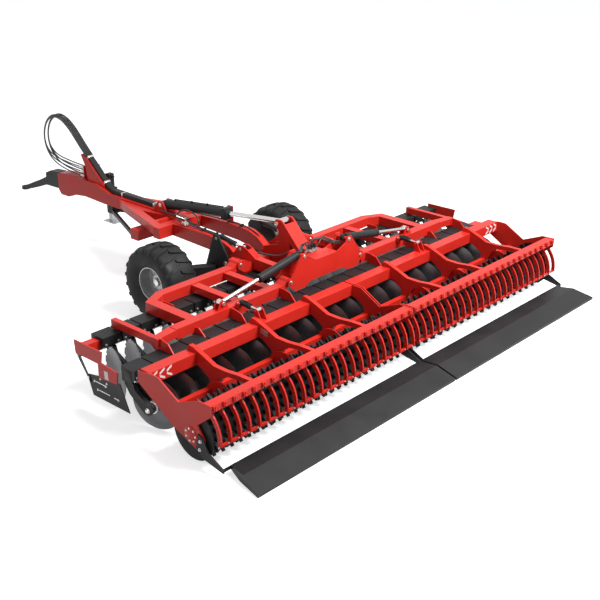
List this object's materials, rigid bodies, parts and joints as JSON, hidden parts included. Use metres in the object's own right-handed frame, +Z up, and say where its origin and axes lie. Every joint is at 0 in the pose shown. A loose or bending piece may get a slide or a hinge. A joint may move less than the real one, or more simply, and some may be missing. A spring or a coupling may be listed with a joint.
{
  "type": "trailed folding compact disc harrow",
  "caption": "Trailed folding disc harrow with notched discs, toothed packer roller, levelling board, drawbar and front transport wheels",
  "frame": {"origin": "middle of the bounding box on the floor", "axes": "+X forwards to the hitch, +Y to the left, +Z up"},
  "size_m": [8.03, 6, 1.7821],
  "materials": {
    "red_paint": "semi-gloss red paint",
    "black_paint": "satin black paint",
    "disc_steel": "dark bare disc steel",
    "chromed_rod": "polished hard chrome",
    "silver_paint": "silver paint",
    "tyre_rubber": "matt black tyre rubber",
    "bare_alloy": "bare machined alloy",
    "hose_rubber": "smooth black rubber"
  },
  "bodies": {
    "root": {"centre_frame": "red_paint", "top_link_tower": "red_paint", "centre_gang_arms": "black_paint", "centre_discs": "disc_steel", "valve_block": "bare_alloy", "lift_cheeks": "red_paint"},
    "drawbar": {"drawbar_frame": "red_paint", "brace_bars": "black_paint", "hitch_tongue": "black_paint", "hose_mast": "red_paint", "jack_tube": "black_paint", "hose_guide": "black_paint", "coupler_plate": "red_paint", "hose_couplers": "bare_alloy", "hose_1": "hose_rubber", "hose_2": "hose_rubber", "hose_3": "hose_rubber", "hose_4": "hose_rubber", "hose_5": "hose_rubber", "hose_6": "hose_rubber"},
    "jack": {"jack_leg": "black_paint"},
    "axle": {"axle_frame": "black_paint"},
    "main_barrel": {"main_barrel": "black_paint"},
    "main_rod": {"main_rod": "chromed_rod"},
    "lift_barrels": {"lift_barrels": "black_paint"},
    "lift_rods": {"lift_rods": "chromed_rod"},
    "wheel_left": {"tyre_left": "tyre_rubber", "rim_left": "silver_paint"},
    "wing_left": {"wing_frame_left": "red_paint", "wing_gang_arms_left": "black_paint", "wing_discs_left": "disc_steel", "end_deflector_left": "black_paint", "cylinder_lugs_left": "red_paint"},
    "roller_arms_left": {"roller_frame_left": "red_paint", "scraper_bar_left": "red_paint", "levelling_board_left": "black_paint", "depth_clevis_left": "red_paint"},
    "roller_left": {"ring_roller_left": "black_paint"},
    "fold_barrel_left": {"fold_barrel_left": "black_paint"},
    "fold_rod_left": {"fold_rod_left": "chromed_rod"},
    "depth_barrel_left": {"depth_barrel_left": "black_paint"},
    "depth_rod_left": {"depth_rod_left": "chromed_rod"},
    "wheel_right": {"tyre_right": "tyre_rubber", "rim_right": "silver_paint"},
    "wing_right": {"wing_frame_right": "red_paint", "wing_gang_arms_right": "black_paint", "wing_discs_right": "disc_steel", "end_deflector_right": "black_paint", "cylinder_lugs_right": "red_paint"},
    "roller_arms_right": {"roller_frame_right": "red_paint", "scraper_bar_right": "red_paint", "levelling_board_right": "black_paint", "depth_clevis_right": "red_paint"},
    "roller_right": {"ring_roller_right": "black_paint"},
    "fold_barrel_right": {"fold_barrel_right": "black_paint"},
    "fold_rod_right": {"fold_rod_right": "chromed_rod"},
    "depth_barrel_right": {"depth_barrel_right": "black_paint"},
    "depth_rod_right": {"depth_rod_right": "chromed_rod"}
  },
  "joints": [
    {"name": "drawbar_hinge", "type": "hinge", "parent": "root", "child": "drawbar", "pos_m": [-0.955, 0, 0.66], "axis": [0, -1, 0], "range_deg": [-6, 8]},
    {"name": "main_swing", "type": "hinge", "parent": "drawbar", "child": "main_barrel", "pos_m": [0.659, 0, 0.955], "axis": [0, -1, 0], "range_deg": [-2.33, 1.8]},
    {"name": "main_rod_slide", "type": "slide", "parent": "main_barrel", "child": "main_rod", "axis": [-0.9935, 0, 0.1141], "range_m": [-0.0701, 0.053]},
    {"name": "axle_hinge", "type": "hinge", "parent": "root", "child": "axle", "pos_m": [-0.955, 0, 0.66], "axis": [0, -1, 0], "range_deg": [-22, 20]},
    {"name": "lift_swing", "type": "hinge", "parent": "axle", "child": "lift_barrels", "pos_m": [-0.785, 0, 0.94], "axis": [0, -1, 0], "range_deg": [-9.49, 10.42]},
    {"name": "lift_rod_slide", "type": "slide", "parent": "lift_barrels", "child": "lift_rods", "axis": [-0.9915, 0, -0.1305], "range_m": [-0.09, 0.0988]},
    {"name": "jack_slide", "type": "slide", "parent": "drawbar", "child": "jack", "axis": [0, 0, 1], "range_m": [-0.35, 0]},
    {"name": "wheel_left_spin", "type": "hinge", "parent": "axle", "child": "wheel_left", "pos_m": [-0.431, 1.03, 0.47], "axis": [0, 1, 0], "continuous": true},
    {"name": "wing_left_fold", "type": "hinge", "parent": "root", "child": "wing_left", "pos_m": [-1.68, 0.6, 0.8], "axis": [1, 0, 0], "range_deg": [0, 90]},
    {"name": "fold_left_swing", "type": "hinge", "parent": "root", "child": "fold_barrel_left", "pos_m": [-2.075, 0.385, 1.05], "axis": [1, 0, 0], "range_deg": [-0.2, 86.92]},
    {"name": "fold_left_rod_slide", "type": "slide", "parent": "fold_barrel_left", "child": "fold_rod_left", "axis": [0, 0.9858, -0.1677], "range_m": [-0.465, 0.002]},
    {"name": "roller_left_depth", "type": "hinge", "parent": "wing_left", "child": "roller_arms_left", "pos_m": [-2.393, 1.5, 0.6], "axis": [0, 1, 0], "range_deg": [-6, 6]},
    {"name": "depth_left_swing", "type": "hinge", "parent": "wing_left", "child": "depth_barrel_left", "pos_m": [-2.16, 1.38, 0.812], "axis": [0, -1, 0], "range_deg": [-0.71, 0.71]},
    {"name": "depth_left_rod_slide", "type": "slide", "parent": "depth_barrel_left", "child": "depth_rod_left", "axis": [-0.999, 0, -0.0452], "range_m": [-0.0231, 0.0231]},
    {"name": "roller_left_spin", "type": "hinge", "parent": "roller_arms_left", "child": "roller_left", "pos_m": [-3.127, 1.5, 0.275], "axis": [0, 1, 0], "continuous": true},
    {"name": "wheel_right_spin", "type": "hinge", "parent": "axle", "child": "wheel_right", "pos_m": [-0.431, -1.03, 0.47], "axis": [0, 1, 0], "continuous": true},
    {"name": "wing_right_fold", "type": "hinge", "parent": "root", "child": "wing_right", "pos_m": [-1.68, -0.6, 0.8], "axis": [-1, 0, 0], "range_deg": [0, 90]},
    {"name": "fold_right_swing", "type": "hinge", "parent": "root", "child": "fold_barrel_right", "pos_m": [-2.075, -0.385, 1.05], "axis": [-1, 0, 0], "range_deg": [-0.2, 86.92]},
    {"name": "fold_right_rod_slide", "type": "slide", "parent": "fold_barrel_right", "child": "fold_rod_right", "axis": [0, -0.9858, -0.1677], "range_m": [-0.465, 0.002]},
    {"name": "roller_right_depth", "type": "hinge", "parent": "wing_right", "child": "roller_arms_right", "pos_m": [-2.393, -1.5, 0.6], "axis": [0, 1, 0], "range_deg": [-6, 6]},
    {"name": "depth_right_swing", "type": "hinge", "parent": "wing_right", "child": "depth_barrel_right", "pos_m": [-2.16, -1.38, 0.812], "axis": [0, -1, 0], "range_deg": [-0.71, 0.71]},
    {"name": "depth_right_rod_slide", "type": "slide", "parent": "depth_barrel_right", "child": "depth_rod_right", "axis": [-0.999, 0, -0.0452], "range_m": [-0.0231, 0.0231]},
    {"name": "roller_right_spin", "type": "hinge", "parent": "roller_arms_right", "child": "roller_right", "pos_m": [-3.127, -1.5, 0.275], "axis": [0, 1, 0], "continuous": true}
  ],
  "couplings": [
    {"joint": "main_swing", "follows": "drawbar_hinge", "ratio": -0.2663},
    {"joint": "main_rod_slide", "follows": "drawbar_hinge", "m_per_rad": -0.48747},
    {"joint": "lift_swing", "follows": "axle_hinge", "ratio": -0.46458},
    {"joint": "lift_rod_slide", "follows": "axle_hinge", "m_per_rad": -0.25203},
    {"joint": "fold_left_swing", "follows": "wing_left_fold", "ratio": 0.96352},
    {"joint": "fold_left_rod_slide", "follows": "wing_left_fold", "m_per_rad": -0.29478},
    {"joint": "depth_left_swing", "follows": "roller_left_depth", "ratio": -0.08468},
    {"joint": "depth_left_rod_slide", "follows": "roller_left_depth", "m_per_rad": -0.20107},
    {"joint": "fold_right_swing", "follows": "wing_right_fold", "ratio": 0.96352},
    {"joint": "fold_right_rod_slide", "follows": "wing_right_fold", "m_per_rad": -0.29478},
    {"joint": "depth_right_swing", "follows": "roller_right_depth", "ratio": -0.08468},
    {"joint": "depth_right_rod_slide", "follows": "roller_right_depth", "m_per_rad": -0.20107}
  ]
}
